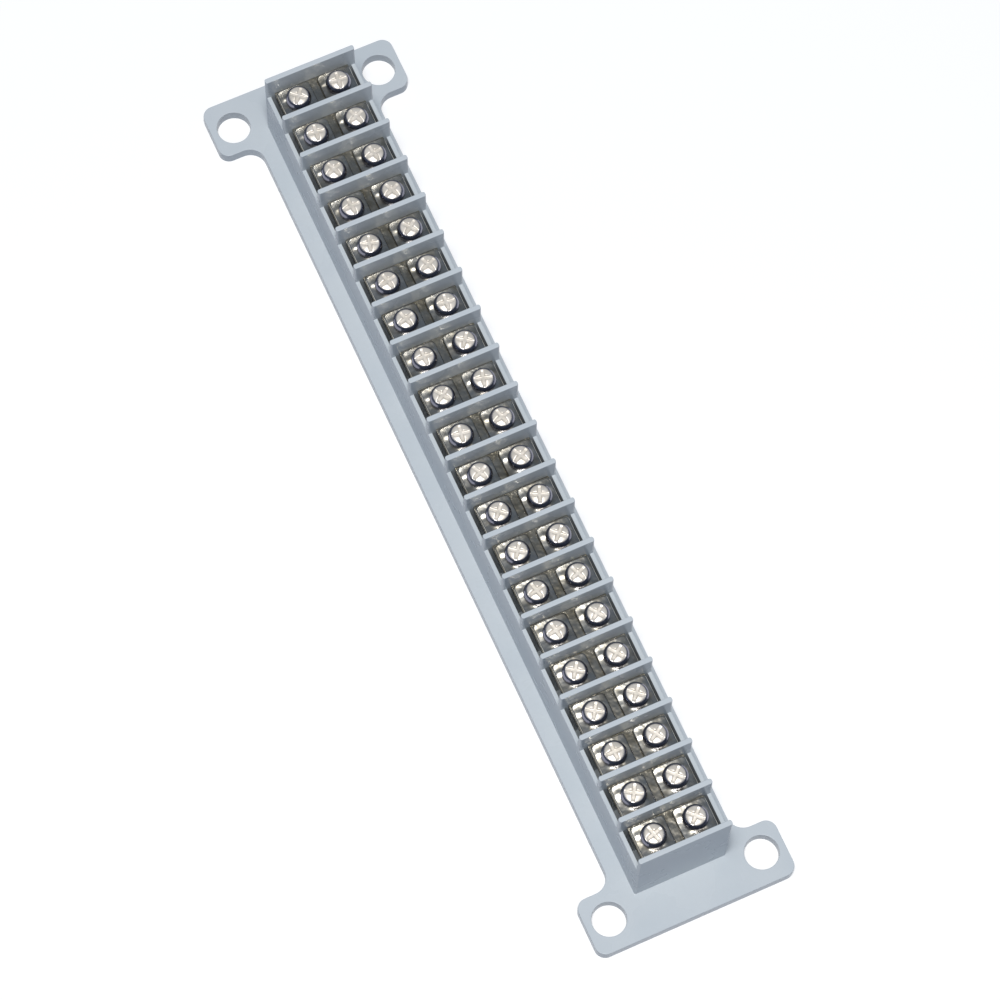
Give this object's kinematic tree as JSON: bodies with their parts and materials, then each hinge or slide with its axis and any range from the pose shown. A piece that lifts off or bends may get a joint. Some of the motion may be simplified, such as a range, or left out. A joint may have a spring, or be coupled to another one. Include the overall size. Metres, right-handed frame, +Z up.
{
  "type": "terminal block",
  "caption": "Barrier terminal block: facing rows of clamp screws in open compartments between upright barriers, on a thin base with drilled fixing ears at both ends.",
  "frame": {"origin": "centre of the base, on its underside", "axes": "+X along the strip, +Y across it, +Z up out of the panel that it is fixed to"},
  "size_m": [0.2102, 0.0452, 0.026],
  "materials": {
    "moulding": "satin blue-grey",
    "contact_metal": "nickel plated",
    "screw_metal": "bright nickel plated"
  },
  "bodies": {
    "strip": {"housing": "moulding", "contact_plates": "contact_metal"},
    "screw_left_01": {"screw_left_01": "screw_metal"},
    "screw_left_02": {"screw_left_02": "screw_metal"},
    "screw_left_03": {"screw_left_03": "screw_metal"},
    "screw_left_04": {"screw_left_04": "screw_metal"},
    "screw_left_05": {"screw_left_05": "screw_metal"},
    "screw_left_06": {"screw_left_06": "screw_metal"},
    "screw_left_07": {"screw_left_07": "screw_metal"},
    "screw_left_08": {"screw_left_08": "screw_metal"},
    "screw_left_09": {"screw_left_09": "screw_metal"},
    "screw_left_10": {"screw_left_10": "screw_metal"},
    "screw_left_11": {"screw_left_11": "screw_metal"},
    "screw_left_12": {"screw_left_12": "screw_metal"},
    "screw_left_13": {"screw_left_13": "screw_metal"},
    "screw_left_14": {"screw_left_14": "screw_metal"},
    "screw_left_15": {"screw_left_15": "screw_metal"},
    "screw_left_16": {"screw_left_16": "screw_metal"},
    "screw_left_17": {"screw_left_17": "screw_metal"},
    "screw_left_18": {"screw_left_18": "screw_metal"},
    "screw_left_19": {"screw_left_19": "screw_metal"},
    "screw_left_20": {"screw_left_20": "screw_metal"},
    "screw_right_01": {"screw_right_01": "screw_metal"},
    "screw_right_02": {"screw_right_02": "screw_metal"},
    "screw_right_03": {"screw_right_03": "screw_metal"},
    "screw_right_04": {"screw_right_04": "screw_metal"},
    "screw_right_05": {"screw_right_05": "screw_metal"},
    "screw_right_06": {"screw_right_06": "screw_metal"},
    "screw_right_07": {"screw_right_07": "screw_metal"},
    "screw_right_08": {"screw_right_08": "screw_metal"},
    "screw_right_09": {"screw_right_09": "screw_metal"},
    "screw_right_10": {"screw_right_10": "screw_metal"},
    "screw_right_11": {"screw_right_11": "screw_metal"},
    "screw_right_12": {"screw_right_12": "screw_metal"},
    "screw_right_13": {"screw_right_13": "screw_metal"},
    "screw_right_14": {"screw_right_14": "screw_metal"},
    "screw_right_15": {"screw_right_15": "screw_metal"},
    "screw_right_16": {"screw_right_16": "screw_metal"},
    "screw_right_17": {"screw_right_17": "screw_metal"},
    "screw_right_18": {"screw_right_18": "screw_metal"},
    "screw_right_19": {"screw_right_19": "screw_metal"},
    "screw_right_20": {"screw_right_20": "screw_metal"}
  },
  "joints": [
    {"name": "lift_left_01", "type": "slide", "parent": "strip", "child": "screw_left_01", "axis": [0, 0, 1], "range_m": [0, 0.0022]},
    {"name": "lift_left_02", "type": "slide", "parent": "strip", "child": "screw_left_02", "axis": [0, 0, 1], "range_m": [0, 0.0022]},
    {"name": "lift_left_03", "type": "slide", "parent": "strip", "child": "screw_left_03", "axis": [0, 0, 1], "range_m": [0, 0.0022]},
    {"name": "lift_left_04", "type": "slide", "parent": "strip", "child": "screw_left_04", "axis": [0, 0, 1], "range_m": [0, 0.0022]},
    {"name": "lift_left_05", "type": "slide", "parent": "strip", "child": "screw_left_05", "axis": [0, 0, 1], "range_m": [0, 0.0022]},
    {"name": "lift_left_06", "type": "slide", "parent": "strip", "child": "screw_left_06", "axis": [0, 0, 1], "range_m": [0, 0.0022]},
    {"name": "lift_left_07", "type": "slide", "parent": "strip", "child": "screw_left_07", "axis": [0, 0, 1], "range_m": [0, 0.0022]},
    {"name": "lift_left_08", "type": "slide", "parent": "strip", "child": "screw_left_08", "axis": [0, 0, 1], "range_m": [0, 0.0022]},
    {"name": "lift_left_09", "type": "slide", "parent": "strip", "child": "screw_left_09", "axis": [0, 0, 1], "range_m": [0, 0.0022]},
    {"name": "lift_left_10", "type": "slide", "parent": "strip", "child": "screw_left_10", "axis": [0, 0, 1], "range_m": [0, 0.0022]},
    {"name": "lift_left_11", "type": "slide", "parent": "strip", "child": "screw_left_11", "axis": [0, 0, 1], "range_m": [0, 0.0022]},
    {"name": "lift_left_12", "type": "slide", "parent": "strip", "child": "screw_left_12", "axis": [0, 0, 1], "range_m": [0, 0.0022]},
    {"name": "lift_left_13", "type": "slide", "parent": "strip", "child": "screw_left_13", "axis": [0, 0, 1], "range_m": [0, 0.0022]},
    {"name": "lift_left_14", "type": "slide", "parent": "strip", "child": "screw_left_14", "axis": [0, 0, 1], "range_m": [0, 0.0022]},
    {"name": "lift_left_15", "type": "slide", "parent": "strip", "child": "screw_left_15", "axis": [0, 0, 1], "range_m": [0, 0.0022]},
    {"name": "lift_left_16", "type": "slide", "parent": "strip", "child": "screw_left_16", "axis": [0, 0, 1], "range_m": [0, 0.0022]},
    {"name": "lift_left_17", "type": "slide", "parent": "strip", "child": "screw_left_17", "axis": [0, 0, 1], "range_m": [0, 0.0022]},
    {"name": "lift_left_18", "type": "slide", "parent": "strip", "child": "screw_left_18", "axis": [0, 0, 1], "range_m": [0, 0.0022]},
    {"name": "lift_left_19", "type": "slide", "parent": "strip", "child": "screw_left_19", "axis": [0, 0, 1], "range_m": [0, 0.0022]},
    {"name": "lift_left_20", "type": "slide", "parent": "strip", "child": "screw_left_20", "axis": [0, 0, 1], "range_m": [0, 0.0022]},
    {"name": "lift_right_01", "type": "slide", "parent": "strip", "child": "screw_right_01", "axis": [0, 0, 1], "range_m": [0, 0.0022]},
    {"name": "lift_right_02", "type": "slide", "parent": "strip", "child": "screw_right_02", "axis": [0, 0, 1], "range_m": [0, 0.0022]},
    {"name": "lift_right_03", "type": "slide", "parent": "strip", "child": "screw_right_03", "axis": [0, 0, 1], "range_m": [0, 0.0022]},
    {"name": "lift_right_04", "type": "slide", "parent": "strip", "child": "screw_right_04", "axis": [0, 0, 1], "range_m": [0, 0.0022]},
    {"name": "lift_right_05", "type": "slide", "parent": "strip", "child": "screw_right_05", "axis": [0, 0, 1], "range_m": [0, 0.0022]},
    {"name": "lift_right_06", "type": "slide", "parent": "strip", "child": "screw_right_06", "axis": [0, 0, 1], "range_m": [0, 0.0022]},
    {"name": "lift_right_07", "type": "slide", "parent": "strip", "child": "screw_right_07", "axis": [0, 0, 1], "range_m": [0, 0.0022]},
    {"name": "lift_right_08", "type": "slide", "parent": "strip", "child": "screw_right_08", "axis": [0, 0, 1], "range_m": [0, 0.0022]},
    {"name": "lift_right_09", "type": "slide", "parent": "strip", "child": "screw_right_09", "axis": [0, 0, 1], "range_m": [0, 0.0022]},
    {"name": "lift_right_10", "type": "slide", "parent": "strip", "child": "screw_right_10", "axis": [0, 0, 1], "range_m": [0, 0.0022]},
    {"name": "lift_right_11", "type": "slide", "parent": "strip", "child": "screw_right_11", "axis": [0, 0, 1], "range_m": [0, 0.0022]},
    {"name": "lift_right_12", "type": "slide", "parent": "strip", "child": "screw_right_12", "axis": [0, 0, 1], "range_m": [0, 0.0022]},
    {"name": "lift_right_13", "type": "slide", "parent": "strip", "child": "screw_right_13", "axis": [0, 0, 1], "range_m": [0, 0.0022]},
    {"name": "lift_right_14", "type": "slide", "parent": "strip", "child": "screw_right_14", "axis": [0, 0, 1], "range_m": [0, 0.0022]},
    {"name": "lift_right_15", "type": "slide", "parent": "strip", "child": "screw_right_15", "axis": [0, 0, 1], "range_m": [0, 0.0022]},
    {"name": "lift_right_16", "type": "slide", "parent": "strip", "child": "screw_right_16", "axis": [0, 0, 1], "range_m": [0, 0.0022]},
    {"name": "lift_right_17", "type": "slide", "parent": "strip", "child": "screw_right_17", "axis": [0, 0, 1], "range_m": [0, 0.0022]},
    {"name": "lift_right_18", "type": "slide", "parent": "strip", "child": "screw_right_18", "axis": [0, 0, 1], "range_m": [0, 0.0022]},
    {"name": "lift_right_19", "type": "slide", "parent": "strip", "child": "screw_right_19", "axis": [0, 0, 1], "range_m": [0, 0.0022]},
    {"name": "lift_right_20", "type": "slide", "parent": "strip", "child": "screw_right_20", "axis": [0, 0, 1], "range_m": [0, 0.0022]}
  ]
}
